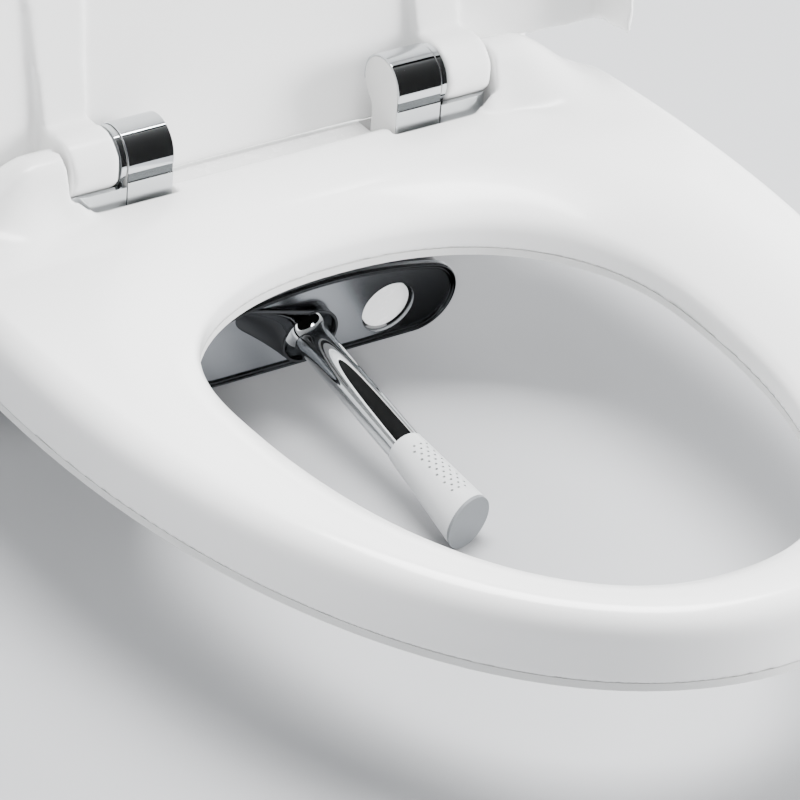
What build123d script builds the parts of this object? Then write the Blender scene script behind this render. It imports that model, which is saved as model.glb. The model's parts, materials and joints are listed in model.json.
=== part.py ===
from build123d import *
import math
import os

# Electric bidet seat, in millimetres.
# +Z is up, -Y points to the front of the bowl, +X is to the right of a person who faces the bowl.
# z = 0 is the top of the bowl's rim. The origin is midway between the two fixing bolts.
# The lid stands open, the seat lies down and the spray arm is run out.

# ---- Main sizes -------------------------------------------------------------
SEAT_HALF_WIDTH = 184.0
SEAT_FRONT_Y = -441.0
SEAT_WIDEST_Y = -139.0
SEAT_REAR_HALF_WIDTH = 176.0
SEAT_REAR_Y = -33.0
SEAT_BOTTOM_Z = 1.0
SEAT_SPLIT_Z = 4.5
SEAT_TOP_Z = 35.0
SEAT_INNER_TOP_Z = 17.0
SEAT_DISH_WIDTH = 34.0
SEAT_EDGE_RADIUS = 13.0
SEAT_POWER = 2.12

OPENING_HALF_WIDTH = 112.0
OPENING_FRONT_Y = -391.6
OPENING_WIDEST_Y = -206.5
OPENING_REAR_Y = -105.0
OPENING_POWER = 2.24

AXIS_Y = -46.0
AXIS_Z = 51.0
BARREL_RADIUS = 14.0
LID_OPEN_ANGLE = 98.0
SEAT_SWEEP_RADIUS = 49.0

TOWER_IN = 57.4
TOWER_OUT = 80.0
NOTCH_IN = 55.5
NOTCH_OUT = 83.4
LEAF_IN = 80.6
LEAF_OUT = 83.1
ARM_IN = 83.8
ARM_OUT = 107.0
FOOT_OUT = 108.2
HUMP_IN = 109.6
HUMP_OUT = 140.0
HUMP_RADIUS = 10.5
PIN_RADIUS = 4.0
RUNNING_GAP = 0.05
DAMPER_RADIUS = 8.0
COVER_SKIN = 1.2
TOWER_FRONT_Y = AXIS_Y - BARREL_RADIUS
NECK_REAR_Y = -40.0
NOTCH_FRONT_Y = -62.0
CENTRE_REAR_Y = -50.0
POCKET_FLOOR_Z = 31.0

LID_WALL = 3.3
LID_GAP = 1.2
LID_RIM_Z = 22.0
LID_TOP_Z = 76.0
LID_CROWN_Y = -150.0
LID_CROWN_RADIUS = 2000.0
LID_PANEL = 4.0
LID_REAR_Y = AXIS_Y
LID_TONGUE_Y = -24.0
LID_TONGUE_HALF = 83.0

HOUSING_HALF_WIDTH = 172.0
HOUSING_FRONT_Y = -2.0
HOUSING_REAR_Y = 100.0
HOUSING_TOP_Z = 88.0
HOUSING_WALL = 2.5
HOUSING_EDGE_RADIUS = 12.0
FLOOR_Z = 5.0
FLOOR_TOP_Z = 8.0
BAR_TOP_Z = 25.0
BAR_FRONT_Y = -48.0
BAR_HALF_WIDTH = 57.0
DECK_HALF_WIDTH = 168.0
DECK_FRONT_Y = -30.5

BOLT_SPACING = 155.0
BOLT_RADIUS = 4.0
BOLT_LENGTH = 50.0
BOLT_HEAD_RADIUS = 9.0

# The spray unit hangs below the rim and is tilted, with its arm pointing forward and down.
ARM_X = -8.0
PLATE_Y = -95.0
PLATE_Z = -30.5
UNIT_TILT = 10.0
TUBE_RADIUS = 8.0
TUBE_BORE = 5.0
TUBE_OUT = 83.0
TIP_LENGTH = 49.0
TIP_YAW = 15.0
TIP_PITCH = 4.0
TIP_RADIUS = 12.2
TIP_ROOT_RADIUS = 8.4
END_DISC = 1.6
COLLAR_OUT = 4.0
COLLAR_BORE = 13.0
COLLAR_RADIUS = 14.3
HORN_X = 17.0
HORN_Z = 9.5
HORN_TURN = 22.0
HORN_HALF_LENGTH = 23.0
HORN_HALF_WIDTH = 8.0
FLARE_RADIUS = 12.7
CHANNEL_RADIUS = 13.05
NUT_HALF_WIDTH = 4.6
CARRIAGE_Y = (46.0, 58.0)
GUIDE_REAR_Y = 178.0
SCREW_Z = 16.0
SCREW_RADIUS = 3.0
PLATE_HALF_LENGTH = 70.0
PLATE_HALF_HEIGHT = 19.0
PLATE_SKIN = 2.0
PLATE_ARCH = 7.0
RIM_WIDTH = 3.2
RIM_HEIGHT = 1.6
OUTLET_X = 43.0
OUTLET_RADIUS = 13.2
FLAP_RADIUS = 12.0
FLAP_PIVOT = (3.5, 11.0)

TOWER_SCREW_X = (64.0, 74.0)
TOWER_SCREW_Y = -20.0
TOWER_SCREW_RADIUS = 1.8
COVER_SCREW_X = 150.0
COVER_SCREW_Y = (14.0, 84.0)
COVER_SCREW_RADIUS = 1.9
BRACKET_SCREW_X = (91.0, 101.0)
GUIDE_HALF = 15.0
DUCT_X = (27.0, 59.0)
DUCT_HALF_HEIGHT = 16.0
DUCT_WALL = 2.0
HOLE_ROWS = 12
HOLE_PITCH = 2.9
HOLE_COLUMNS = (-3.2, 0.0, 3.2)
HOLE_STAGGER = 0.8
HOLE_RADIUS = 0.6
FLARE_LENGTH = 11.0
INLET_Y = 65.0
INLET_Z = 62.0
INLET_RADIUS = 10.48
GLAND_X = -140.0
GLAND_Z = 30.0
GLAND_RADIUS = 8.0
GLAND_BORE = 3.6
PUMP_Y = 70.0
PUMP_Z = 28.0
PORT_RADIUS = 4.0
PORT_BORE = 2.5
HOSE_RADIUS = 4.6
HOSE_BORE = 2.6
BOARD_Z = 68.0
BOARD_THICK = 1.6
BUTTON_RADIUS = 6.0
BUTTON_GAP = 0.4
BUTTON_COUNT = 5
BUTTON_FIRST_Y = 22.0
BUTTON_PITCH = 14.0
BUTTON_Z = 52.0


# ---- Helpers ----------------------------------------------------------------
def block(x0, x1, y0, y1, z0, z1):
    """A box between two corners."""
    centre = ((x0 + x1) / 2, (y0 + y1) / 2, (z0 + z1) / 2)
    return Pos(*centre) * Box(abs(x1 - x0), abs(y1 - y0), abs(z1 - z0))


def rod_x(x0, x1, y, z, radius):
    """A round bar along X."""
    return Pos((x0 + x1) / 2, y, z) * Rot(0, 90, 0) * Cylinder(radius, abs(x1 - x0))


def rod_y(y0, y1, x, z, radius):
    """A round bar along Y."""
    return Pos(x, (y0 + y1) / 2, z) * Rot(90, 0, 0) * Cylinder(radius, abs(y1 - y0))


def rod_z(z0, z1, x, y, radius):
    """A round bar along Z."""
    return Pos(x, y, (z0 + z1) / 2) * Cylinder(radius, abs(z1 - z0))


def rounded_block(x0, x1, y0, y1, z0, z1, radius):
    """A box with all its edges rounded."""
    body = block(x0, x1, y0, y1, z0, z1)
    return fillet(body.edges(), radius)


def sides(make):
    """The left and right copies of a piece that is made for the right side."""
    right = make()
    return mirror(right, Plane.YZ), right


def at_unit(shape):
    """Moves a piece from the spray unit's own frame to its place under the seat."""
    return Pos(ARM_X, PLATE_Y, PLATE_Z) * Rot(UNIT_TILT, 0, 0) * shape


def save(shape, name):
    """Writes one sub-part."""
    solids = shape.solids()
    piece = solids[0] if len(solids) == 1 else Compound(children=list(solids))
    export_step(piece, f"parts/{name}.step")


# ---- Outlines ---------------------------------------------------------------
def super_point(angle, half_width, widest_y, end_y, power):
    """A point of the oval's quarter, from its widest place (0) to its end (90 degrees)."""
    across = half_width * math.cos(angle) ** (2 / power)
    along = widest_y + (end_y - widest_y) * math.sin(angle) ** (2 / power)
    return across, along


def seat_face(grow, rear_y, corner):
    """The seat's outline, grown outward by a distance and cut straight at the rear."""
    half = SEAT_HALF_WIDTH + grow
    front = SEAT_FRONT_Y - grow
    steps = 8
    points = []
    for step in range(steps):
        angle = math.radians(90) * (1 - step / steps)
        points.append(super_point(angle, half, SEAT_WIDEST_Y, front, SEAT_POWER))
    points.append((half, SEAT_WIDEST_Y))
    taper = SEAT_HALF_WIDTH - SEAT_REAR_HALF_WIDTH
    for part in (0.5, 1.0):
        y = SEAT_WIDEST_Y + part * (rear_y - SEAT_WIDEST_Y)
        share = (y - SEAT_WIDEST_Y) / (SEAT_REAR_Y - SEAT_WIDEST_Y)
        points.append((half - taper * share ** 2, y))
    right = Spline(*points)
    left = mirror(right, Plane.YZ)
    rear = Line(right @ 1, left @ 1)
    face = make_face([right, rear, left])
    corners = [v for v in face.vertices() if v.Y > rear_y - 1]
    return fillet(corners, corner)


def opening_face(grow):
    """The oval opening of the seat, grown outward by a distance."""
    half = OPENING_HALF_WIDTH + grow
    ends = (OPENING_FRONT_Y - grow, OPENING_REAR_Y + grow)
    steps = 7
    points = []
    for side, end_y in ((1, ends[0]), (-1, ends[0]), (-1, ends[1]), (1, ends[1])):
        forward = side * (1 if end_y == ends[0] else -1) > 0
        for step in range(steps):
            share = step / steps if forward else 1 - step / steps
            angle = math.radians(90) * share
            x, y = super_point(angle, half, OPENING_WIDEST_Y, end_y, OPENING_POWER)
            points.append((side * x, y))
    return make_face(Spline(*points, periodic=True))


def prism(face, z0, z1):
    """A flat outline given height."""
    return extrude(Pos(0, 0, z0) * face, z1 - z0)


# ---- Seat -------------------------------------------------------------------
def seat_rear_cuts():
    """The notches for the hinge towers, the hinge pockets and the swept rear underside."""
    cuts = [block(-NOTCH_IN, NOTCH_IN, CENTRE_REAR_Y, 20, -1, 60)]
    for side in (-1, 1):
        cuts.append(block(side * NOTCH_IN, side * NOTCH_OUT, NOTCH_FRONT_Y, 20, -1, 60))
        inner = side * (NOTCH_OUT - 1)
        outer = side * (FOOT_OUT + 0.8)
        pocket = block(inner, outer, NOTCH_FRONT_Y, 20, POCKET_FLOOR_Z, 60)
        edge = pocket.edges().filter_by(Axis.Z).sort_by(Axis.Y)[:2]
        cuts.append(fillet(edge.sort_by(Axis.X)[-1 if side > 0 else 0], 11))
    spare = block(-200, 200, AXIS_Y, 20, -20, 60)
    spare -= rod_x(-210, 210, AXIS_Y, AXIS_Z, SEAT_SWEEP_RADIUS)
    cuts.append(spare)
    return cuts


def seat_humps():
    """The raised shoulders outside the lid's arms, within the lid's turning circle."""
    centre_y = AXIS_Y - BARREL_RADIUS + HUMP_RADIUS
    humps = []
    for side in (-1, 1):
        hump = rod_x(side * HUMP_IN, side * HUMP_OUT, centre_y, AXIS_Z, HUMP_RADIUS)
        top = Spline((-92, SEAT_TOP_Z - 0.2), (centre_y - HUMP_RADIUS * 0.8, AXIS_Z + HUMP_RADIUS * 0.6),
                     tangents=((1, 0), (0.6, 0.8)))
        rest = Polyline(top @ 1, (centre_y, AXIS_Z), (SEAT_REAR_Y - 2, 44), (SEAT_REAR_Y - 2, POCKET_FLOOR_Z),
                        (-92, POCKET_FLOOR_Z), top @ 0)
        start = side * HUMP_IN if side > 0 else -HUMP_OUT
        fairing = extrude(Plane.YZ.offset(start) * make_face([top, rest]), HUMP_OUT - HUMP_IN)
        end = Pos(side * HUMP_OUT, AXIS_Y, 66) * Rot(0, side * 35, 0) * Box(40, 120, 90)
        humps.append(hump + fairing - Pos(side * 18, 0, 0) * end)
    return humps


def seat_top():
    """The upper shell: a dished ring with a rounded outer shoulder."""
    ring = prism(seat_face(0, SEAT_REAR_Y, 16), SEAT_SPLIT_Z, SEAT_TOP_Z)
    shoulder = ring.faces().sort_by(Axis.Z)[-1].edges()
    ring = fillet(shoulder, SEAT_EDGE_RADIUS)
    ring -= prism(opening_face(0), 0, 60)
    low = Pos(0, 0, SEAT_INNER_TOP_Z) * opening_face(0)
    high = Pos(0, 0, SEAT_TOP_Z + 0.5) * opening_face(SEAT_DISH_WIDTH)
    ring -= loft([low, high])
    keep = block(-200, 200, -460, -72, 0, 60)
    deep = prism(seat_face(-8, SEAT_REAR_Y, 16), 4, 30.5) - prism(opening_face(36), 0, 60)
    shallow = prism(seat_face(-8, SEAT_REAR_Y, 16), 4, 12) - prism(opening_face(6), 0, 60)
    ring -= (deep + shallow) & keep
    for hump in seat_humps():
        ring += hump
    for cut in seat_rear_cuts():
        ring -= cut
    return ring


def seat_bottom():
    """The flat lower shell that closes the hollow of the upper one."""
    ring = prism(seat_face(-0.4, SEAT_REAR_Y, 16), SEAT_BOTTOM_Z, SEAT_SPLIT_Z)
    ring -= prism(opening_face(0.4), 0, 60)
    ring -= seat_bumpers()
    for cut in seat_rear_cuts():
        ring -= cut
    return ring


def seat_heater():
    """The heating foil under the sitting surface."""
    ring = prism(seat_face(-10, SEAT_REAR_Y, 16), 29.7, 30.4) - prism(opening_face(38), 0, 60)
    return ring & block(-200, 200, -460, -74, 0, 60)


def seat_bumpers():
    """Four rubber pads that rest on the bowl."""
    pads = []
    for x, y, turn in ((70, -408, 24), (152, -210, 82)):
        pad = extrude(SlotOverall(34, 11), SEAT_BOTTOM_Z + 1.5)
        pads += [Pos(x, y, 0) * Rot(0, 0, turn) * pad, Pos(-x, y, 0) * Rot(0, 0, -turn) * pad]
    return Compound(children=pads)


def seat_bracket():
    """The seat's hinge fitting: a foot in the seat's pocket and a leaf up to the pin."""
    foot = block(LEAF_IN, FOOT_OUT, TOWER_FRONT_Y, NECK_REAR_Y + 2, POCKET_FLOOR_Z, 42)
    ends = foot.edges().filter_by(Axis.Z).group_by(Axis.X)[-1]
    foot = fillet(ends, 10)
    foot -= rod_x(ARM_IN - 0.6, 140, AXIS_Y, AXIS_Z, BARREL_RADIUS + 0.6)
    leaf = rod_x(LEAF_IN, LEAF_OUT, AXIS_Y, AXIS_Z, BARREL_RADIUS - 0.6)
    leaf += block(LEAF_IN, LEAF_OUT, AXIS_Y - 11, AXIS_Y + 8, POCKET_FLOOR_Z, AXIS_Z)
    bore = rod_x(LEAF_IN - 1, LEAF_OUT + 1, AXIS_Y, AXIS_Z, PIN_RADIUS + RUNNING_GAP)
    body = foot + leaf - bore
    for x in BRACKET_SCREW_X:
        body -= rod_z(25, 60, x, AXIS_Y, 2.1)
        body -= rod_z(34.2, 60, x, AXIS_Y, 3.9)
    return body


def bracket_screws():
    """The screws that hold the hinge fittings on the seat."""
    screws = []
    for x in (91, 101, -91, -101):
        screw = rod_z(POCKET_FLOOR_Z, 34.2, x, AXIS_Y, 2.0) + rod_z(34.2, 36, x, AXIS_Y, 3.6)
        slot = block(x - 2.4, x + 2.4, AXIS_Y - 0.5, AXIS_Y + 0.5, 35.2, 37)
        screws.append(screw - slot)
    return Compound(children=screws)


# ---- Lid --------------------------------------------------------------------
def crown(drop):
    """The ball whose surface is the crown of the lid."""
    radius = LID_CROWN_RADIUS - drop
    return Pos(0, LID_CROWN_Y, LID_TOP_Z - LID_CROWN_RADIUS) * Sphere(radius)


def opened(shape):
    """Turns a piece of the lid from closed to open about the hinge axis."""
    turn = Pos(0, AXIS_Y, AXIS_Z) * Rot(-LID_OPEN_ANGLE, 0, 0) * Pos(0, -AXIS_Y, -AXIS_Z)
    return turn * shape


def lid():
    """The lid with its two hinge arms."""
    outside = prism(seat_face(LID_GAP + LID_WALL, LID_REAR_Y, 6), LID_RIM_Z, LID_TOP_Z + 4)
    inside = prism(seat_face(LID_GAP, LID_REAR_Y + 20, 6), LID_RIM_Z - 1, LID_TOP_Z)
    shell = (outside & crown(0)) - (inside & crown(LID_PANEL))
    tongue = block(-LID_TONGUE_HALF, LID_TONGUE_HALF, -60, LID_TONGUE_Y, LID_RIM_Z, LID_TOP_Z + 4)
    shell += (tongue & crown(0)) - crown(LID_PANEL)
    shell -= block(-200, 200, NOTCH_FRONT_Y - 34, 0, 0, SEAT_TOP_Z + 1.5)
    for side in (-1, 1):
        knuckle = rod_x(side * ARM_IN, side * ARM_OUT, AXIS_Y, AXIS_Z, BARREL_RADIUS)
        knuckle += block(side * ARM_IN, side * ARM_OUT, TOWER_FRONT_Y, AXIS_Y, AXIS_Z, 70)
        shell += knuckle
        shell -= rod_x(side * 80, side * (ARM_OUT - 0.5), AXIS_Y, AXIS_Z, PIN_RADIUS + RUNNING_GAP)
    return opened(shell)


def lid_bumpers():
    """Four rubber pads that rest on the seat when the lid is closed."""
    pads = []
    for x, y in ((62, -407), (116, -350)):
        reach = (x ** 2 + (y - LID_CROWN_Y) ** 2) / (2 * LID_CROWN_RADIUS)
        under = LID_TOP_Z - reach - LID_PANEL
        for side in (-1, 1):
            pads.append(rod_z(SEAT_TOP_Z + 1.2, under + 3, side * x, y, 5.0) & crown(LID_PANEL))
    return opened(Compound(children=pads))


# ---- Hinge towers -----------------------------------------------------------
def tower_profile(skin):
    """The tower seen from the side: a round head on a straight front and a narrow neck."""
    radius = BARREL_RADIUS - skin
    front = AXIS_Y - radius
    head_back = (AXIS_Y + radius, AXIS_Z)
    line_up = Line((front, 1), (front, AXIS_Z))
    arc = ThreePointArc((front, AXIS_Z), (AXIS_Y, AXIS_Z + radius), head_back)
    back = Spline(head_back, (AXIS_Y + radius - 6.5, AXIS_Z - 13), (NECK_REAR_Y, 30),
                  tangents=((0, -1), (0, -1)))
    down = Polyline((NECK_REAR_Y, 30), (NECK_REAR_Y, 5), (-14, 5), (-14, 1), (front, 1))
    return make_face([line_up, arc, back, down])


def tower():
    """The fixed post that carries the hinge pin."""
    face = Plane.YZ.offset(TOWER_IN) * tower_profile(COVER_SKIN)
    body = extrude(face, TOWER_OUT - TOWER_IN)
    body -= rod_x(TOWER_IN + 2, TOWER_OUT - 3, AXIS_Y, AXIS_Z, DAMPER_RADIUS + 0.1)
    body -= rod_x(TOWER_OUT - 4, TOWER_OUT + 1, AXIS_Y, AXIS_Z, PIN_RADIUS)
    for x in TOWER_SCREW_X:
        body -= rod_z(0, 6, x, TOWER_SCREW_Y, TOWER_SCREW_RADIUS + 0.1)
    return body


def tower_head_cover():
    """The chrome cover over the round head of the tower."""
    face = Plane.YZ.offset(TOWER_IN) * tower_profile(0)
    body = extrude(face, TOWER_OUT - TOWER_IN)
    core = Plane.YZ.offset(TOWER_IN - 1) * tower_profile(COVER_SKIN)
    body -= extrude(core, TOWER_OUT - TOWER_IN + 2)
    return body & block(50, 90, -70, -20, 48, 80)


def tower_front_cover():
    """The flat chrome plate on the front of the tower."""
    return block(TOWER_IN, TOWER_OUT, TOWER_FRONT_Y, TOWER_FRONT_Y + COVER_SKIN, 22, 44)


def tower_trim():
    """The satin strip between the two chrome covers."""
    return block(TOWER_IN + 0.2, TOWER_OUT - 0.2, TOWER_FRONT_Y + 0.4, TOWER_FRONT_Y + COVER_SKIN, 44, 48)


def hinge_pin():
    """The steel pin, held in the damper, on which the seat and the lid turn."""
    return rod_x(TOWER_OUT - 5, ARM_OUT - 1.2, AXIS_Y, AXIS_Z, PIN_RADIUS)


def damper():
    """The soft-close damper inside the tower's head."""
    body = rod_x(TOWER_IN + 2, TOWER_OUT - 5, AXIS_Y, AXIS_Z, DAMPER_RADIUS)
    return body - rod_x(TOWER_IN + 6, TOWER_IN + 7.5, AXIS_Y, AXIS_Z, DAMPER_RADIUS + 1) \
        + rod_x(TOWER_IN + 5, TOWER_IN + 8, AXIS_Y, AXIS_Z, DAMPER_RADIUS - 1)


def tower_screws():
    """The screws that hold the towers' feet to the chassis."""
    screws = []
    for x in TOWER_SCREW_X:
        for side in (-1, 1):
            screws.append(rod_z(1, FLOOR_TOP_Z, side * x, TOWER_SCREW_Y, TOWER_SCREW_RADIUS))
    return Compound(children=screws)


# ---- Rear housing -----------------------------------------------------------
def mounting_plates():
    """The two plates that stay bolted to the bowl, one on each side of the spray unit."""
    plates = block(-100, 100, -12, 45, 0, FLOOR_Z)
    plates = fillet(plates.edges().filter_by(Axis.Z), 8)
    plates -= block(-31, 60, -20, 60, -1, 9)
    for side in (-1, 1):
        plates -= rod_z(-1, 9, side * BOLT_SPACING / 2, 0, BOLT_RADIUS + 1.4)
    return plates


def fixing_bolts():
    """Two bolts that go down through the holes of the bowl."""
    bolts = []
    for side in (-1, 1):
        x = side * BOLT_SPACING / 2
        shank = rod_z(-BOLT_LENGTH, FLOOR_Z, x, 0, BOLT_RADIUS)
        head = rod_z(FLOOR_Z, FLOOR_Z + 4, x, 0, BOLT_HEAD_RADIUS)
        hexagon = Pos(x, 0, FLOOR_Z + 4) * extrude(RegularPolygon(3.0, 6), -2.5)
        bolts.append(shank + head - hexagon)
    return Compound(children=bolts)


def unit_passage(spare):
    """The space that the spray unit takes up where it crosses the chassis."""
    half = GUIDE_HALF + spare
    guide = block(-half, half, -20, GUIDE_REAR_Y + 24, -half, 28 + spare)
    half = DUCT_HALF_HEIGHT + spare
    duct = block(DUCT_X[0] - spare, DUCT_X[1] + spare, -20, 131, -half, half)
    return at_unit(guide + duct)


def chassis():
    """The floor of the rear housing with the cheeks that hold the spray unit."""
    floor = block(-166, 166, 2, 95, FLOOR_Z, FLOOR_TOP_Z)
    floor = fillet(floor.edges().filter_by(Axis.Z), 8)
    floor += block(-165, 165, -27.5, 10, FLOOR_Z, FLOOR_TOP_Z)
    floor += block(-51, 51, -45, -20, FLOOR_Z, FLOOR_TOP_Z)
    for x in (-28, 54):
        floor += block(x, x + 3, -20, 60, -14, FLOOR_Z + 1)
    floor -= unit_passage(0.3)
    for side in (-1, 1):
        floor -= rod_z(0, 12, side * BOLT_SPACING / 2, 0, BOLT_HEAD_RADIUS + 2)
    for side in (-1, 1):
        for x in TOWER_SCREW_X:
            floor -= rod_z(0, 12, side * x, TOWER_SCREW_Y, TOWER_SCREW_RADIUS)
        for y in COVER_SCREW_Y:
            floor -= rod_z(0, 12, side * COVER_SCREW_X, y, COVER_SCREW_RADIUS + 0.1)
    return floor


def cover_block(inset):
    """The outer form of the housing cover, or of its hollow when inset."""
    half = HOUSING_HALF_WIDTH - inset
    top = HOUSING_TOP_Z - inset
    front = HOUSING_FRONT_Y + inset
    rear = HOUSING_REAR_Y - inset
    side = Polyline((front, 2), (front, 40), (front + 12, top), (rear, top), (rear, 2), (front, 2))
    body = extrude(Plane.YZ.offset(-half) * make_face(side), 2 * half)
    rims = body.edges().filter_by(lambda e: e.center().Z > 3 and abs(e.center().Z - 40) > 0.1)
    body = fillet(rims, HOUSING_EDGE_RADIUS - inset)
    bar_top = BAR_TOP_Z - inset
    bar = BAR_HALF_WIDTH - inset
    deck = DECK_HALF_WIDTH - inset
    body += block(-bar, bar, BAR_FRONT_Y + inset, 10, 2, bar_top)
    body += block(-deck, deck, DECK_FRONT_Y + inset, 10, 2, bar_top)
    return body


def housing_cover():
    """The cover of the rear housing, with the low bar between the hinges."""
    body = cover_block(0)
    nose = body.edges().filter_by(Axis.X).filter_by(lambda e: abs(e.center().Y - BAR_FRONT_Y) < 0.1)
    body = fillet(nose.sort_by(Axis.Z)[-1], 7)
    body -= cover_block(HOUSING_WALL) - block(-200, 200, -60, 120, 88, 90)
    for index in range(BUTTON_COUNT):
        y = BUTTON_FIRST_Y + index * BUTTON_PITCH
        body -= rod_x(-180, -160, y, BUTTON_Z, BUTTON_RADIUS + BUTTON_GAP)
    body -= block(160, 180, 33.5, 74.5, 17.5, 42.5)
    body -= block(160, 180, 25.6, 38.4, 8.6, 15.4)
    body -= block(-102, 102, -60, 50, 0, FLOOR_Z + 0.3)
    body -= unit_passage(1.0)
    for side in (-1, 1):
        body -= rod_z(0, FLOOR_TOP_Z + 2, side * BOLT_SPACING / 2, 0, BOLT_HEAD_RADIUS + 2)
    body -= rod_x(160, 180, INLET_Y, INLET_Z, INLET_RADIUS + 1.02)
    body -= rod_y(90, 110, GLAND_X, GLAND_Z, GLAND_RADIUS + 0.2)
    body -= block(-110, -60, 90, 110, 58, 60.5) + block(-110, -60, 90, 110, 52, 54.5)
    return body


def cover_screws():
    """Four screws that hold the cover's floor."""
    screws = []
    for x in (-COVER_SCREW_X, COVER_SCREW_X):
        for y in COVER_SCREW_Y:
            screws.append(rod_z(3, 22, x, y, COVER_SCREW_RADIUS) + rod_z(3, FLOOR_Z, x, y, 3.6))
    return Compound(children=screws)


def support_posts():
    """The posts that the cover's screws bite into, and the four under the circuit board."""
    posts = [rod_z(FLOOR_TOP_Z, BOARD_Z, x, y, 3) for x in (-119, 64) for y in (18, 86)]
    for x in (-COVER_SCREW_X, COVER_SCREW_X):
        for y in COVER_SCREW_Y:
            posts.append(rod_z(FLOOR_TOP_Z, 30, x, y, 4.5) - rod_z(7, 23, x, y, COVER_SCREW_RADIUS))
    return Compound(children=posts)


# ---- Spray unit, in its own frame: forward is -Y, the plate's front is y = 0 ----
def slot_outline(inset):
    """A long outline with rounded ends, standing upright across the unit."""
    length = 2 * (PLATE_HALF_LENGTH - inset)
    height = 2 * (PLATE_HALF_HEIGHT - inset)
    return Plane.XZ * Pos(-ARM_X, 1) * SlotOverall(length, height)


def plate_outline(inset):
    """The same outline with its upper edge arched, the arch running smoothly into both ends."""
    end_x = PLATE_HALF_LENGTH - PLATE_HALF_HEIGHT
    round_end = PLATE_HALF_HEIGHT - inset
    drop = (end_x ** 2 - PLATE_ARCH ** 2) / (2 * PLATE_ARCH)
    x = end_x + round_end * end_x / (drop + PLATE_ARCH)
    z = round_end * drop / (drop + PLATE_ARCH)
    top = ThreePointArc((-x, z), (0, round_end + PLATE_ARCH), (x, z))
    arch = make_face([top, Line((x, z), (-x, z))])
    return slot_outline(inset) + Plane.XZ * Pos(-ARM_X, 1) * arch


def slab(face, y0, y1):
    """An upright outline given depth from y0 back to y1."""
    return Pos(0, y0, 0) * extrude(face, -(y1 - y0))


def face_plate():
    """The brushed plate that faces the bowl."""
    body = slab(plate_outline(0), 0, PLATE_SKIN)
    body -= rod_y(-5, 5, 0, 0, COLLAR_BORE + 0.5)
    body -= rod_y(-5, 5, OUTLET_X, 0, OUTLET_RADIUS)
    return at_unit(body)


def collar_form():
    """The outer form of the collar: a ring with a horn that sweeps up towards the left."""
    place = Pos(-HORN_X, HORN_Z) * Rot(0, 0, -HORN_TURN)
    base = Plane.XZ * place * Ellipse(HORN_HALF_LENGTH, HORN_HALF_WIDTH)
    mouth = Plane.XZ.offset(COLLAR_OUT) * Circle(COLLAR_RADIUS)
    ring = rod_y(-COLLAR_OUT - 0.3, 0, 0, 0, COLLAR_RADIUS - 0.4)
    return ring + loft([base, mouth])


def face_plate_rim():
    """The raised polished border of the plate."""
    body = slab(plate_outline(0), -RIM_HEIGHT, 0) - slab(plate_outline(RIM_WIDTH), -5, 5)
    body -= collar_form()
    return at_unit(body)


def unit_carrier():
    """The box behind the plate that holds the guide and the air duct."""
    body = slab(slot_outline(2.5), PLATE_SKIN, 32) - slab(slot_outline(5), 4.5, 40)
    body -= rod_y(-5, 10, 0, 0, COLLAR_BORE + 0.5)
    body -= rod_y(-5, 10, OUTLET_X, 0, OUTLET_RADIUS + 3.2)
    room = GUIDE_HALF + 0.2
    body -= block(-room, room, 4, 60, -room, room - 0.3)
    room = DUCT_HALF_HEIGHT + 0.2
    body -= block(DUCT_X[0] - 0.2, DUCT_X[1] + 0.2, 8, 60, -room, room)
    return at_unit(body)


def nozzle_collar():
    """The chrome collar round the spray arm, flared towards the long end of the plate."""
    return at_unit(collar_form() - rod_y(-20, 5, 0, 0, COLLAR_BORE))


def nozzle_guide():
    """The channel in which the spray arm's carriage slides."""
    rear = GUIDE_REAR_Y - 2.5
    body = block(-GUIDE_HALF, GUIDE_HALF, 4.7, GUIDE_REAR_Y, -GUIDE_HALF, 24)
    body -= rod_y(0, rear, 0, 0, CHANNEL_RADIUS)
    slot = NUT_HALF_WIDTH + 0.4
    body -= block(-slot, slot, CARRIAGE_Y[0] - 1, rear, 0, 21.6)
    body -= rod_y(100, 200, 0, SCREW_Z, SCREW_RADIUS + 0.1)
    body -= block(-20, 20, -5, CARRIAGE_Y[0] - 3, 14.8, 30)
    body -= block(-20, 20, -5, CARRIAGE_Y[1] - 2, 22.6, 30)
    return at_unit(body)


def tube_profile():
    """Half of the tube's section with the flare at its root, as a face to spin about the arm."""
    rise = Spline((TUBE_RADIUS, -FLARE_LENGTH), (FLARE_RADIUS, -1.5), tangents=((0, 1), (0.9, 0.45)))
    rear = CARRIAGE_Y[1]
    rest = Polyline((FLARE_RADIUS, -1.5), (FLARE_RADIUS, 8), (TUBE_RADIUS, 10), (TUBE_RADIUS, rear),
                    (TUBE_BORE, rear), (TUBE_BORE, -TUBE_OUT), (TUBE_RADIUS, -TUBE_OUT),
                    (TUBE_RADIUS, -FLARE_LENGTH))
    return make_face([rise, rest])


def nozzle_tube():
    """The chrome tube of the spray arm, flared where it leaves the collar."""
    return at_unit(revolve(tube_profile(), Axis.Y))


def tip_cone(wall, start, finish):
    """The tip's cone, inset by a wall, between two places along the arm."""
    slope = (TIP_RADIUS - TIP_ROOT_RADIUS) / TIP_LENGTH
    first = TIP_ROOT_RADIUS - wall + slope * start
    last = TIP_ROOT_RADIUS - wall + slope * finish
    edge = Polyline((0, -TUBE_OUT - start), (first, -TUBE_OUT - start), (last, -TUBE_OUT - finish),
                    (0, -TUBE_OUT - finish), (0, -TUBE_OUT - start))
    return revolve(make_face(edge), Axis.Y)


def tip_end(depth, ahead):
    """A slab of the spray head's slanted end, a distance ahead of it."""
    place = Pos(0, -TUBE_OUT - TIP_LENGTH, 0) * Rot(-TIP_PITCH, 0, TIP_YAW)
    return place * Pos(0, -ahead - depth / 2, 0) * Box(60, depth, 60)


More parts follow.
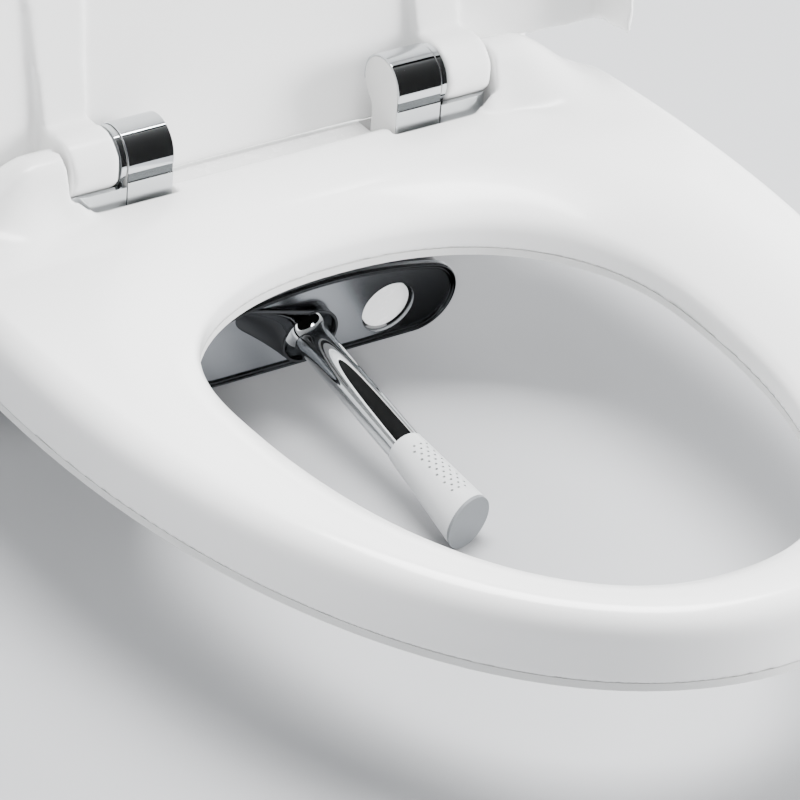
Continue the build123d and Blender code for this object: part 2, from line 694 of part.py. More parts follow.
def nozzle_tip():
    """The flared spray head with its rows of fine holes on top and its slanted end."""
    body = tip_cone(0, 0, TIP_LENGTH + 8) - tip_end(30, 0)
    body -= tip_cone(2.0, 1.5, TIP_LENGTH - 6)
    body -= rod_y(-TUBE_OUT - 3, -TUBE_OUT + 1, 0, 0, TUBE_BORE)
    for index in range(HOLE_ROWS):
        y = -TUBE_OUT - 8 - HOLE_PITCH * index
        for x in HOLE_COLUMNS:
            body -= rod_z(4, 16, x + HOLE_STAGGER * (-1) ** index, y, HOLE_RADIUS)
    return at_unit(body)


def nozzle_end_disc():
    """The flat grey disc that closes the spray head."""
    body = tip_cone(0.1, TIP_LENGTH - 8, TIP_LENGTH + 8) & tip_end(END_DISC, 0)
    return at_unit(body)


def nozzle_carriage():
    """The round sliding block at the rear of the spray arm, with the screw's nut."""
    body = rod_y(CARRIAGE_Y[0], CARRIAGE_Y[1], 0, 0, FLARE_RADIUS)
    body += block(-NUT_HALF_WIDTH, NUT_HALF_WIDTH, CARRIAGE_Y[0], CARRIAGE_Y[1], 8, 21.2)
    body -= rod_y(40, 70, 0, 0, TUBE_RADIUS)
    body -= rod_y(40, 70, 0, SCREW_Z, SCREW_RADIUS + 0.1)
    return at_unit(body)


def nozzle_screw():
    """The lead screw that drives the carriage."""
    body = rod_y(CARRIAGE_Y[0] - 0.5, GUIDE_REAR_Y + 0.4, 0, SCREW_Z, SCREW_RADIUS)
    flat = block(-4, 4, GUIDE_REAR_Y - 2, GUIDE_REAR_Y + 3, SCREW_Z + 2.2, SCREW_Z + 4)
    return at_unit(body - flat)


def nozzle_motor():
    """The small stepper motor on the end of the guide."""
    body = rod_y(GUIDE_REAR_Y + 0.5, GUIDE_REAR_Y + 15, 0, SCREW_Z, 10)
    ears = block(-14, 14, GUIDE_REAR_Y + 0.5, GUIDE_REAR_Y + 1.5, SCREW_Z - 3.5, SCREW_Z + 3.5)
    return at_unit(body + ears)


def air_duct():
    """The duct from the blower to the outlet in the plate."""
    left, right = DUCT_X[0] + DUCT_WALL, DUCT_X[1] - DUCT_WALL
    inside = DUCT_HALF_HEIGHT - DUCT_WALL
    body = block(DUCT_X[0], DUCT_X[1], 8, 130, -DUCT_HALF_HEIGHT, DUCT_HALF_HEIGHT)
    body -= block(left, right, 7, 130 - DUCT_WALL, -inside, inside)
    body -= block(left, right, 102, 130 - DUCT_WALL, 0, 20)
    return at_unit(body)


def dryer_flap():
    """The round white shutter of the air outlet, hung at its top edge."""
    body = rod_y(2.3, 4.3, OUTLET_X, 0, FLAP_RADIUS)
    y, z = FLAP_PIVOT
    body += rod_x(OUTLET_X - 9.5, OUTLET_X + 9.5, y, z, 0.8)
    return at_unit(body)


def flap_bearings():
    """Two small eyes that hold the shutter's pivot."""
    eyes = []
    y, z = FLAP_PIVOT
    for x in (OUTLET_X - 9.2, OUTLET_X + 9.2):
        eye = block(x - 0.8, x + 0.8, 2.3, 8, z - 1.6, z + 1.6) - rod_x(x - 2, x + 2, y, z, 0.87)
        eyes.append(eye - rod_y(0, 10, OUTLET_X, 0, FLAP_RADIUS + 0.3))
    return at_unit(Compound(children=eyes))


# ---- Inside the housing -----------------------------------------------------
FAN_X = (22.0, 50.0)
FAN_Y = 36.0
FAN_Z = 38.0
FAN_RADIUS = 26.0
IMPELLER_RADIUS = 20.0


def fan_scroll():
    """The blower's housing with its outlet towards the duct."""
    outer = rod_x(FAN_X[0], FAN_X[1], FAN_Y, FAN_Z, FAN_RADIUS)
    outer += block(FAN_X[0], FAN_X[1], FAN_Y - FAN_RADIUS, FAN_Y - 4, 9.5, FAN_Z)
    inner = rod_x(FAN_X[0] + 2, FAN_X[1] - 2, FAN_Y, FAN_Z, FAN_RADIUS - 2)
    inner += block(FAN_X[0] + 2, FAN_X[1] - 2, FAN_Y - FAN_RADIUS + 2, FAN_Y - 6, 9, FAN_Z)
    body = outer - inner
    body -= rod_x(FAN_X[0] - 1, FAN_X[0] + 3, FAN_Y, FAN_Z, 13)
    body -= rod_x(FAN_X[1] - 3, FAN_X[1] + 1, FAN_Y, FAN_Z, 2.3)
    return body


def fan_impeller():
    """The blower wheel on its shaft."""
    back = FAN_X[1] - 4
    body = rod_x(back - 1.5, back, FAN_Y, FAN_Z, IMPELLER_RADIUS)
    body += rod_x(back - 9, back, FAN_Y, FAN_Z, 4.5)
    body += rod_x(back, FAN_X[1] + 4, FAN_Y, FAN_Z, 1.5)
    blade = block(FAN_X[0] + 5, back - 1, -0.6, 0.6, 13.5, IMPELLER_RADIUS - 0.2)
    for index in range(16):
        body += Pos(0, FAN_Y, FAN_Z) * Rot(index * 22.5, 0, 0) * blade
    ring = rod_x(FAN_X[0] + 4, FAN_X[0] + 5.2, FAN_Y, FAN_Z, IMPELLER_RADIUS)
    ring -= rod_x(FAN_X[0], FAN_X[0] + 9, FAN_Y, FAN_Z, 13.4)
    return body + ring


def fan_motor():
    """The motor of the blower."""
    body = rod_x(FAN_X[1] + 0.2, FAN_X[1] + 22, FAN_Y, FAN_Z, 14)
    return body - rod_x(FAN_X[1] - 1, FAN_X[1] + 6, FAN_Y, FAN_Z, 1.6)


def water_heater():
    """The instantaneous water heater with its two ports."""
    body = rounded_block(80, 114, 12, 88, 18, 50, 4)
    body += block(84, 96, 20, 80, FLOOR_TOP_Z, 22)
    body += rod_x(74, 82, 74, 38, PORT_RADIUS) + rod_z(48, 56, 97, 70, PORT_RADIUS)
    return body - rod_x(73, 82, 74, 38, PORT_BORE) - rod_z(46, 57, 97, 70, PORT_BORE)


def water_pump():
    """The water pump."""
    body = rod_x(-112, -62, PUMP_Y, PUMP_Z, 17) + rod_x(-62, -44, PUMP_Y, PUMP_Z, 14)
    body += block(-108, -66, PUMP_Y - 14, PUMP_Y + 14, FLOOR_TOP_Z, 20)
    body += rod_z(40, 52, -54, PUMP_Y, PORT_RADIUS)
    return body - rod_z(44, 53, -54, PUMP_Y, PORT_BORE)


def inlet_valve():
    """The solenoid valve behind the water inlet."""
    body = rounded_block(124, 160, 50, 80, 50, 74, 3)
    body += rod_z(73, 84, 136, INLET_Y, 9) + rod_x(112, 125, PUMP_Y, INLET_Z, PORT_RADIUS)
    return body - rod_x(111, 125, PUMP_Y, INLET_Z, PORT_BORE)


def water_inlet():
    """The threaded water connection on the side of the housing."""
    body = rod_x(160, 186, INLET_Y, INLET_Z, INLET_RADIUS) - rod_x(170, 190, INLET_Y, INLET_Z, 6)
    return body + rod_x(HOUSING_HALF_WIDTH, HOUSING_HALF_WIDTH + 1.5, INLET_Y, INLET_Z, 14)


def control_board():
    """The circuit board."""
    return block(-122, 67, 14, 89, BOARD_Z, BOARD_Z + BOARD_THICK)


def board_parts():
    """The larger components on the circuit board."""
    top = BOARD_Z + BOARD_THICK
    parts = [block(-108, -80, 24, 50, top, 80), block(20, 44, 30, 54, top, 76)]
    for index in range(4):
        parts.append(rod_z(top, 81, -66 + 14 * index, 74, 5))
    for index in range(3):
        parts.append(block(-60 + 24 * index, -44 + 24 * index, 28, 40, top, 74))
    return Compound(children=parts)


def power_supply():
    """The power supply block."""
    return rounded_block(-164, -124, 26, 76, FLOOR_TOP_Z, 38, 2)


def hose(points, radii):
    """A water hose along straight runs joined by arcs."""
    path = FilletPolyline(*points, radius=radii)
    ring = Circle(HOSE_RADIUS) - Circle(HOSE_BORE)
    section = Plane(origin=path @ 0, z_dir=path % 0) * ring
    return sweep(section, path)


def water_hoses():
    """The hoses from the valve to the heater and from the heater to the pump."""
    inlet = hose([(111.8, 70, 62), (97, 70, 62), (97, 70, 56.2)], 5.5)
    outlet = hose([(73.8, 74, 38), (62, 74, 38), (62, 74, 60), (-54, 70, 60), (-54, 70, 52.2)], 7)
    return Compound(children=[inlet, outlet])


def deodoriser():
    """The pull-out deodoriser cartridge."""
    body = block(122, 174, 34, 74, 18, 42)
    body = fillet(body.edges().filter_by(Axis.X), 2)
    body -= block(169, 180, 44, 64, 36, 39)
    for index in range(6):
        y = 38 + 6 * index
        body -= block(128, 160, y, y + 3, 40, 44)
    return body


def release_button():
    """The push button that unlocks the seat from its mounting plate."""
    body = block(101, 174.5, 26, 38, 9, 15)
    return fillet(body.edges().group_by(Axis.X)[-1], 1.2)


def control_panel():
    """The oval key plate on the side of the housing."""
    length = (BUTTON_COUNT - 1) * BUTTON_PITCH + 24
    middle = BUTTON_FIRST_Y + (BUTTON_COUNT - 1) * BUTTON_PITCH / 2
    face = Plane.YZ.offset(-HOUSING_HALF_WIDTH - 1.5) * Pos(middle, BUTTON_Z) * SlotOverall(length, 22)
    body = extrude(face, 1.5)
    for index in range(BUTTON_COUNT):
        y = BUTTON_FIRST_Y + index * BUTTON_PITCH
        body -= rod_x(-180, -160, y, BUTTON_Z, BUTTON_RADIUS + BUTTON_GAP)
    return body


def button(index):
    """One round push button."""
    y = BUTTON_FIRST_Y + index * BUTTON_PITCH
    face = -HOUSING_HALF_WIDTH - 3.3
    body = rod_x(face, -164, y, BUTTON_Z, BUTTON_RADIUS)
    return fillet(body.edges().sort_by(Axis.X)[0], 0.8)


def power_gland():
    """The gland where the mains lead enters."""
    body = rod_y(90, 108, GLAND_X, GLAND_Z, GLAND_RADIUS) + rod_y(100.2, 103, GLAND_X, GLAND_Z, 11)
    return body - rod_y(80, 120, GLAND_X, GLAND_Z, GLAND_BORE)


# ---- Output -----------------------------------------------------------------
os.makedirs("parts", exist_ok=True)

SINGLE = {
    "seat_top": seat_top,
    "seat_bottom": seat_bottom,
    "seat_heater": seat_heater,
    "seat_bumpers": seat_bumpers,
    "bracket_screws": bracket_screws,
    "lid": lid,
    "lid_bumpers": lid_bumpers,
    "tower_screws": tower_screws,
    "mounting_plates": mounting_plates,
    "fixing_bolts": fixing_bolts,
    "chassis": chassis,
    "housing_cover": housing_cover,
    "cover_screws": cover_screws,
    "support_posts": support_posts,
    "face_plate": face_plate,
    "face_plate_rim": face_plate_rim,
    "unit_carrier": unit_carrier,
    "nozzle_collar": nozzle_collar,
    "nozzle_guide": nozzle_guide,
    "nozzle_tube": nozzle_tube,
    "nozzle_tip": nozzle_tip,
    "nozzle_end_disc": nozzle_end_disc,
    "nozzle_carriage": nozzle_carriage,
    "nozzle_screw": nozzle_screw,
    "nozzle_motor": nozzle_motor,
    "air_duct": air_duct,
    "dryer_flap": dryer_flap,
    "flap_bearings": flap_bearings,
    "fan_scroll": fan_scroll,
    "fan_impeller": fan_impeller,
    "fan_motor": fan_motor,
    "water_heater": water_heater,
    "water_pump": water_pump,
    "inlet_valve": inlet_valve,
    "water_inlet": water_inlet,
    "control_board": control_board,
    "board_parts": board_parts,
    "power_supply": power_supply,
    "water_hoses": water_hoses,
    "deodoriser": deodoriser,
    "release_button": release_button,
    "control_panel": control_panel,
    "power_gland": power_gland,
}
PAIRED = {
    "seat_bracket": seat_bracket,
    "hinge_tower": tower,
    "tower_head_cover": tower_head_cover,
    "hinge_pin": hinge_pin,
}
PAIR_IN_ONE = {
    "tower_front_covers": tower_front_cover,
    "tower_trims": tower_trim,
    "hinge_dampers": damper,
}

for name, make in SINGLE.items():
    save(make(), name)
for name, make in PAIRED.items():
    left, right = sides(make)
    save(left, name + "_left")
    save(right, name + "_right")
for name, make in PAIR_IN_ONE.items():
    save(Compound(children=list(sides(make))), name)
for index in range(BUTTON_COUNT):
    save(button(index), f"button_{index + 1}")
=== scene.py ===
import bpy
import bmesh
import json
import math
from mathutils import Matrix, Vector


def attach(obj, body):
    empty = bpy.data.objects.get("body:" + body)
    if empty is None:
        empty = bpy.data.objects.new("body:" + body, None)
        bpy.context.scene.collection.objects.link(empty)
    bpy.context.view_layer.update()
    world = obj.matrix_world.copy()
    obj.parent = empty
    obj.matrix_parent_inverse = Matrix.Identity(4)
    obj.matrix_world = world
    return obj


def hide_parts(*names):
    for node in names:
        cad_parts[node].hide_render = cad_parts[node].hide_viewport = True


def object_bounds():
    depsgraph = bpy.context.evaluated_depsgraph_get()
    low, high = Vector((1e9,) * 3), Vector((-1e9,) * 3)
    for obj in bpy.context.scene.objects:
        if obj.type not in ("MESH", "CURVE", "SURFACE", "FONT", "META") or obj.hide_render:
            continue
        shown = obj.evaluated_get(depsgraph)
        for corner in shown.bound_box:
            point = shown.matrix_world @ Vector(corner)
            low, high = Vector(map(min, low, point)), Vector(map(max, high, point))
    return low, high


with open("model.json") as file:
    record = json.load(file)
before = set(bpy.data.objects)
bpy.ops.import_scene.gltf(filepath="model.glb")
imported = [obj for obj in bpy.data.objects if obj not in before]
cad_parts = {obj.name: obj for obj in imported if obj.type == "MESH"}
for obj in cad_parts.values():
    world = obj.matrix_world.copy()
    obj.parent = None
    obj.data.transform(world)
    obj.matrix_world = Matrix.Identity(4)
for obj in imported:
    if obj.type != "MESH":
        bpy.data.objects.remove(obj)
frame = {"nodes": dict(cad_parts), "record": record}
cad_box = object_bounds()
nodes = frame["nodes"]
joints = {joint["name"]: joint for joint in frame["record"]["behaviour"]["joints"]}

# Lengths are in millimetres unless a comment says metres. x is to the right, y to the rear and z up. Zero is
# on the bowl's rim, midway between the two fixing bolts.
MM = 0.001
QUARTER = math.radians(90)
HINGE_AXIS = Vector(joints["seat_hinge"]["pos_m"])
WELD = 0.000004  # metres, the distance under which the vertices of a CAD mesh are one


# ---- Camera -------------------------------------------------------------------
CAMERA_AZIMUTH = math.radians(-35.46)
CAMERA_ELEVATION = math.radians(31.80)
CAMERA_ROLL = math.radians(4.32)
CAMERA_TARGET = Vector((-0.0497, -0.2283, 0.0200))  # metres
CAMERA_DISTANCE = 2.257  # metres
CAMERA_LENS, CAMERA_SENSOR = 248.04, 36
CAMERA_NEAR, CAMERA_FAR = 0.1, 60  # metres


def make_camera():
    """The camera at the photograph's angle."""
    a, e = CAMERA_AZIMUTH, CAMERA_ELEVATION
    back = Vector((math.sin(a) * math.cos(e), -math.cos(a) * math.cos(e), math.sin(e)))
    right = (-back).cross(Vector((0, 0, 1))).normalized()
    up = right.cross(-back)
    c, s = math.cos(CAMERA_ROLL), math.sin(CAMERA_ROLL)
    right, up = c * right + s * up, c * up - s * right
    data = bpy.data.cameras.new("camera")
    data.sensor_width = CAMERA_SENSOR
    data.lens = CAMERA_LENS
    data.clip_start = CAMERA_NEAR
    data.clip_end = CAMERA_FAR
    camera = bpy.data.objects.new("camera", data)
    turn = Matrix((right, up, back)).transposed().to_4x4()
    camera.matrix_world = Matrix.Translation(CAMERA_TARGET + back * CAMERA_DISTANCE) @ turn
    bpy.context.scene.collection.objects.link(camera)
    bpy.context.scene.camera = camera


# ---- Materials ----------------------------------------------------------------
NOISE_LOW, NOISE_HIGH = 0.3, 0.7  # where most of a noise texture's values lie
BROAD_DETAIL, FINE_DETAIL = 3.0, 4.0


def shader(name, colour, rough, metal=0.0, **sockets):
    """A new material and its surface shader, with the plain values set on the shader."""
    material = bpy.data.materials.new(name)
    material.use_nodes = True
    node = material.node_tree.nodes["Principled BSDF"]
    node.inputs["Base Color"].default_value = (*colour, 1)
    node.inputs["Roughness"].default_value = rough
    node.inputs["Metallic"].default_value = metal
    for socket, value in sockets.items():
        node.inputs[socket.replace("_", " ")].default_value = value
    material.diffuse_color = (*colour, 1)
    return material, node


def noise(tree, scale, detail, stretch=(1, 1, 1)):
    """Noise in the object's own space, stretched along its axes."""
    place = tree.nodes.new("ShaderNodeTexCoord")
    mapping = tree.nodes.new("ShaderNodeMapping")
    mapping.inputs["Scale"].default_value = stretch
    texture = tree.nodes.new("ShaderNodeTexNoise")
    texture.inputs["Scale"].default_value = scale
    texture.inputs["Detail"].default_value = detail
    tree.links.new(place.outputs["Object"], mapping.inputs["Vector"])
    tree.links.new(mapping.outputs["Vector"], texture.inputs["Vector"])
    return texture.outputs["Fac"]


def spread(tree, source, low, high):
    """Maps a noise onto low..high."""
    node = tree.nodes.new("ShaderNodeMapRange")
    node.inputs["From Min"].default_value = NOISE_LOW
    node.inputs["From Max"].default_value = NOISE_HIGH
    node.inputs["To Min"].default_value = low
    node.inputs["To Max"].default_value = high
    tree.links.new(source, node.inputs["Value"])
    return node.outputs["Result"]


def tint(tree, source, one, other):
    """A colour between two colours."""
    node = tree.nodes.new("ShaderNodeMix")
    node.data_type = "RGBA"
    node.inputs["A"].default_value = (*one, 1)
    node.inputs["B"].default_value = (*other, 1)
    tree.links.new(spread(tree, source, 0, 1), node.inputs["Factor"])
    return node.outputs["Result"]


def bump(tree, target, source, height):
    """Adds a fine relief to a shader."""
    node = tree.nodes.new("ShaderNodeBump")
    node.inputs["Strength"].default_value = 1.0
    node.inputs["Distance"].default_value = height
    tree.links.new(source, node.inputs["Height"])
    tree.links.new(node.outputs["Normal"], target.inputs["Normal"])


def finished(name, colour, rough, metal=0.0, vary=0.03, rough_vary=0.04, scale=30.0, grain=400.0,
             height=0.00002, stretch=(1, 1, 1), **sockets):
    """A surface whose colour, gloss and relief vary a little, as moulded or plated parts do.

    scale is that of the colour's noise and grain that of the gloss and relief; height is in metres.
    """
    material, node = shader(name, colour, rough, metal, **sockets)
    tree = material.node_tree
    broad = noise(tree, scale, BROAD_DETAIL)
    fine = noise(tree, grain, FINE_DETAIL, stretch)
    darker = tuple(max(0.0, c * (1 - vary)) for c in colour)
    tree.links.new(tint(tree, broad, colour, darker), node.inputs["Base Color"])
    gloss = spread(tree, fine, max(0.0, rough - rough_vary), rough + rough_vary)
    tree.links.new(gloss, node.inputs["Roughness"])
    bump(tree, node, fine, height)
    return material


# One finish for each of the record's slots, and a chrome_trim darkened with painted shade for the plated parts
# that
# stand in the shade under the seat: its near-black colour stands in for their dark reflections.
WHITE = (0.86, 0.86, 0.855)
materials = {
    "seat_plastic": finished("seat_plastic", WHITE, 0.22, vary=0.012, rough_vary=0.03, scale=9, grain=160,
                             height=0.000006, Coat_Weight=0.25, Coat_Roughness=0.06),
    "lid_plastic": finished("lid_plastic", WHITE, 0.24, vary=0.012, rough_vary=0.03, scale=9, grain=160,
                            height=0.000006, Coat_Weight=0.2, Coat_Roughness=0.08),
    "housing_plastic": finished("housing_plastic", WHITE, 0.26, vary=0.015, rough_vary=0.03, scale=12,
                                grain=180, height=0.000008, Coat_Weight=0.15, Coat_Roughness=0.1),
    "underside_plastic": finished("underside_plastic", (0.70, 0.70, 0.69), 0.45, vary=0.03, scale=20,
                                  grain=900, height=0.00003),
    "black_plastic": finished("black_plastic", (0.022, 0.023, 0.025), 0.42, vary=0.25, scale=25,
                              grain=1200, height=0.00004),
    "soft_rubber": finished("soft_rubber", (0.62, 0.62, 0.60), 0.6, vary=0.06, scale=60, grain=1500,
                            height=0.00005),
    "hose_rubber": finished("hose_rubber", (0.24, 0.26, 0.27), 0.5, vary=0.1, scale=60, grain=800,
                            height=0.00005),
    "heating_foil": finished("heating_foil", (0.55, 0.56, 0.58), 0.35, 1.0, vary=0.1, scale=40, grain=500),
    "steel_fastener": finished("steel_fastener", (0.52, 0.53, 0.54), 0.3, 1.0, vary=0.08, scale=80,
                               grain=1500, height=0.00002, stretch=(1, 1, 12)),
    "chrome_trim": finished("chrome_trim", (0.60, 0.62, 0.635), 0.045, 1.0, vary=0.02, rough_vary=0.02,
                            scale=50, grain=900, height=0.0000015),
    "chrome_tube": finished("chrome_tube", (0.72, 0.74, 0.75), 0.03, 1.0, vary=0.02, rough_vary=0.012,
                            scale=50, grain=700, height=0.000001),
    # Painted shade: this near-black base colour stands in for dark reflections under the seat, not for a
    # darker plating.
    "chrome_painted_shade": finished("chrome_painted_shade", (0.05, 0.052, 0.055), 0.03, 1.0, vary=0.02, rough_vary=0.02,
                            scale=50, grain=900, height=0.000001),
    "satin_trim": finished("satin_trim", (0.13, 0.14, 0.145), 0.28, 1.0, vary=0.05, scale=50, grain=900,
                           stretch=(1, 10, 10)),
    "brushed_plate": finished("brushed_plate", (0.36, 0.375, 0.395), 0.25, 1.0, vary=0.03, rough_vary=0.02,
                              scale=40, grain=500, height=0.000002, stretch=(1, 14, 14)),
    "nozzle_white": finished("nozzle_white", (0.54, 0.55, 0.555), 0.32, vary=0.02, scale=40, grain=900,
                             height=0.00001),
    "nozzle_grey": finished("nozzle_grey", (0.17, 0.18, 0.19), 0.35, vary=0.05, scale=60, grain=900,
                            height=0.00001),
    "flap_white": finished("flap_white", (0.94, 0.94, 0.935), 0.25, vary=0.02, scale=40, grain=400,
                           height=0.00001),
    "motor_metal": finished("motor_metal", (0.38, 0.39, 0.40), 0.4, 1.0, vary=0.1, scale=60, grain=900),
    "heater_metal": finished("heater_metal", (0.50, 0.51, 0.52), 0.5, 1.0, vary=0.1, scale=60, grain=700,
                             height=0.00006),
    "brass_thread": finished("brass_thread", (0.50, 0.33, 0.12), 0.28, 1.0, vary=0.1, scale=60, grain=900),
    "board_green": finished("board_green", (0.012, 0.10, 0.045), 0.4, vary=0.2, scale=120, grain=900),
    "cartridge_grey": finished("cartridge_grey", (0.50, 0.52, 0.53), 0.38, vary=0.03, scale=30, grain=900),
    "button_grey": finished("button_grey", (0.66, 0.68, 0.69), 0.3, vary=0.03, scale=60, grain=900,
                            height=0.00001),
    "panel_grey": finished("panel_grey", (0.17, 0.19, 0.21), 0.25, vary=0.05, scale=40, grain=900,
                           height=0.00001),
}


def dress_cad_nodes():
    """Gives every CAD node the finish of its slot, and the collar a chrome darkened with painted shade."""
    slots = {part["node"]: part["material_slot"] for part in frame["record"]["subparts"]}
    for name, piece in nodes.items():
        piece.data.materials.clear()
        piece.data.materials.append(materials[slots[name]])
    # Painted shade: the collar's near-black chrome stands in for its dark reflections under the seat.
    nodes["nozzle_collar"].data.materials[0] = materials["chrome_painted_shade"]


SHARP = math.radians(28)


def make_shading_tool():
    """A node group that welds a CAD mesh and shades it smooth, except over sharp edges."""
    group = bpy.data.node_groups.new("clean_shading", "GeometryNodeTree")
    group.interface.new_socket("Geometry", in_out="INPUT", socket_type="NodeSocketGeometry")
    group.interface.new_socket("Geometry", in_out="OUTPUT", socket_type="NodeSocketGeometry")
    start = group.nodes.new("NodeGroupInput")
    end = group.nodes.new("NodeGroupOutput")
    merge = group.nodes.new("GeometryNodeMergeByDistance")
    merge.inputs["Distance"].default_value = WELD
    smooth = group.nodes.new("GeometryNodeSetShadeSmooth")
    smooth.domain = "FACE"
    crisp = group.nodes.new("GeometryNodeSetShadeSmooth")
    crisp.domain = "EDGE"
    crisp.inputs["Shade Smooth"].default_value = False
    angle = group.nodes.new("GeometryNodeInputMeshEdgeAngle")
    compare = group.nodes.new("FunctionNodeCompare")
    compare.operation = "GREATER_THAN"
    compare.inputs["B"].default_value = SHARP
    link = group.links.new
    link(start.outputs[0], merge.inputs["Geometry"])
    link(merge.outputs["Geometry"], smooth.inputs["Geometry"])
    link(smooth.outputs["Geometry"], crisp.inputs["Geometry"])
    link(angle.outputs["Unsigned Angle"], compare.inputs["A"])
    link(compare.outputs["Result"], crisp.inputs["Selection"])
    link(crisp.outputs["Geometry"], end.inputs[0])
    return group


def drop_normals(piece):
    """Lets a CAD mesh be shaded afresh."""
    if "custom_normal" in piece.data.attributes:
        piece.data.attributes.remove(piece.data.attributes["custom_normal"])


def clean(piece, tool):
    """Shades a CAD node well without moving its vertices."""
    drop_normals(piece)
    modifier = piece.modifiers.new("clean", "NODES")
    modifier.node_group = tool


EDGE_WIDTHS = {
    "tower_head_cover_left": 0.5, "seat_bracket_left": 0.5,
    "tower_head_cover_right": 0.5, "seat_bracket_right": 0.5,
    "tower_front_covers": 0.35, "tower_trims": 0.2, "face_plate": 0.3, "nozzle_collar": 0.5,
}
EDGE_SEGMENTS, EDGE_ANGLE, FLAT_ANGLE = 3, math.radians(30.0), math.radians(0.4)


def soften(name, width):
    """Rounds the sharp edges of a CAD node with modifiers only."""
    piece = nodes[name]
    flat = piece.modifiers.new("flat", "DECIMATE")
    flat.decimate_type = "DISSOLVE"
    flat.angle_limit = FLAT_ANGLE
    edge = piece.modifiers.new("edge", "BEVEL")
    edge.width = width * MM
    edge.segments = EDGE_SEGMENTS
    edge.limit_method = "ANGLE"
    edge.angle_limit = EDGE_ANGLE
    edge.harden_normals = True


# ---- Mesh helpers -------------------------------------------------------------
def piece_from(name, vertices, faces, slot=None, body=None):
    """A new smooth piece in metres, with a slot's finish and riding on a body if they are given."""
    mesh = bpy.data.meshes.new(name)
    mesh.from_pydata([tuple(v) for v in vertices], [], faces)
    bm = bmesh.new()
    bm.from_mesh(mesh)
    bmesh.ops.recalc_face_normals(bm, faces=bm.faces)
    bm.to_mesh(mesh)
    bm.free()
    for face in mesh.polygons:
        face.use_smooth = True
    piece = bpy.data.objects.new(name, mesh)
    bpy.context.scene.collection.objects.link(piece)
    if slot:
        mesh.materials.append(materials[slot])
    if body:
        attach(piece, body)
    return piece


def apply_modifiers(piece):
    """Bakes a piece's modifiers into its mesh."""
    bpy.context.view_layer.update()
    depsgraph = bpy.context.evaluated_depsgraph_get()
    mesh = bpy.data.meshes.new_from_object(piece.evaluated_get(depsgraph))
    piece.modifiers.clear()
    piece.data = mesh


def block_mesh(name, low, high):
    """A plain closed box, used as a cutter."""
    (x0, y0, z0), (x1, y1, z1) = low, high
    vertices = [(x, y, z) for x in (x0, x1) for y in (y0, y1) for z in (z0, z1)]
    faces = [(0, 1, 3, 2), (4, 6, 7, 5), (0, 4, 5, 1), (2, 3, 7, 6), (0, 2, 6, 4), (1, 5, 7, 3)]
    return piece_from(name, [Vector(v) * MM for v in vertices], faces)


def ring_faces(around, count):
    """The faces of a closed ring of closed rows, each of count vertices."""
    faces = []
    for i in range(around):
        here, there = i * count, (i + 1) % around * count
        for j in range(count):
            k = (j + 1) % count
            faces.append((here + j, here + k, there + k, there + j))
    return faces


def cut(piece, cutters):
    """Takes the cutters away from a piece."""
    for cutter in cutters:
        modifier = piece.modifiers.new("cut", "BOOLEAN")
        modifier.operation = "DIFFERENCE"
        modifier.solver = "EXACT"
        modifier.object = cutter
    apply_modifiers(piece)
    for cutter in cutters:
        bpy.data.objects.remove(cutter)


def join_meshes(piece, others):
    """Adds other meshes to a piece's own."""
    bm = bmesh.new()
    bm.from_mesh(piece.data)
    for other in others:
        bm.from_mesh(other.data)
        bpy.data.objects.remove(other)
    bm.to_mesh(piece.data)
    bm.free()


def melt(piece, voxel, rounds):
    """Remeshes a piece finely and smooths it, which rounds its edges as moulding does."""
    remesh = piece.modifiers.new("remesh", "REMESH")
    remesh.mode = "VOXEL"
    remesh.voxel_size = voxel * MM
    remesh.use_smooth_shade = True
    smooth = piece.modifiers.new("smooth", "SMOOTH")
    smooth.factor = 0.5
    smooth.iterations = rounds
    apply_modifiers(piece)


def step(value, low, high):
    """Rises smoothly from 0 at low to 1 at high."""
    t = min(1.0, max(0.0, (value - low) / (high - low)))
    return t * t * (3 - 2 * t)


# ---- Seat ---------------------------------------------------------------------
SEAT_HALF, SEAT_FRONT, SEAT_WIDEST = 184.0, -441.0, -139.0
SEAT_REAR_HALF, SEAT_REAR, SEAT_CORNER, CORNER_LEAN = 176.0, -33.0, 16.0, 0.6
SEAT_POWER = 2.12
HOLE_HALF, HOLE_FRONT, HOLE_WIDEST, HOLE_REAR = 112.0, -391.6, -206.5, -105.0
HOLE_POWER = 2.24
OVAL_STEPS, FLANK_STEPS, CORNER_STEPS, REAR_STEPS = 90, 30, 12, 60
SEAT_CENTRE_Y = -215.0


def oval(angle, half, middle, end, power):
    """A point of an oval's quarter: 0 at its side, 90 degrees at its end."""
    x = half * math.cos(angle) ** (2 / power)
    return x, middle + (end - middle) * math.sin(angle) ** (2 / power)


def seat_outline():
    """The seat's right half outline from the front to the middle of the rear."""
    quarter = [QUARTER * (1 - i / OVAL_STEPS) for i in range(OVAL_STEPS + 1)]
    right = [oval(a, SEAT_HALF, SEAT_WIDEST, SEAT_FRONT, SEAT_POWER) for a in quarter]
    taper = SEAT_HALF - SEAT_REAR_HALF
    length = SEAT_REAR - SEAT_CORNER - SEAT_WIDEST
    for i in range(1, FLANK_STEPS + 1):
        y = SEAT_WIDEST + length * i / FLANK_STEPS
        share = (y - SEAT_WIDEST) / (SEAT_REAR - SEAT_WIDEST)
        right.append((SEAT_HALF - taper * share ** 2, y))
    flank_x = right[-1][0]
    for i in range(1, CORNER_STEPS + 1):
        turn = QUARTER * i / CORNER_STEPS
        x = flank_x - SEAT_CORNER * (1 - math.cos(turn)) - CORNER_LEAN * i / CORNER_STEPS
        right.append((x, SEAT_REAR - SEAT_CORNER * (1 - math.sin(turn))))
    corner_x = right[-1][0]
    for i in range(1, REAR_STEPS):
        right.append((corner_x * (1 - i / REAR_STEPS), SEAT_REAR))
    return right


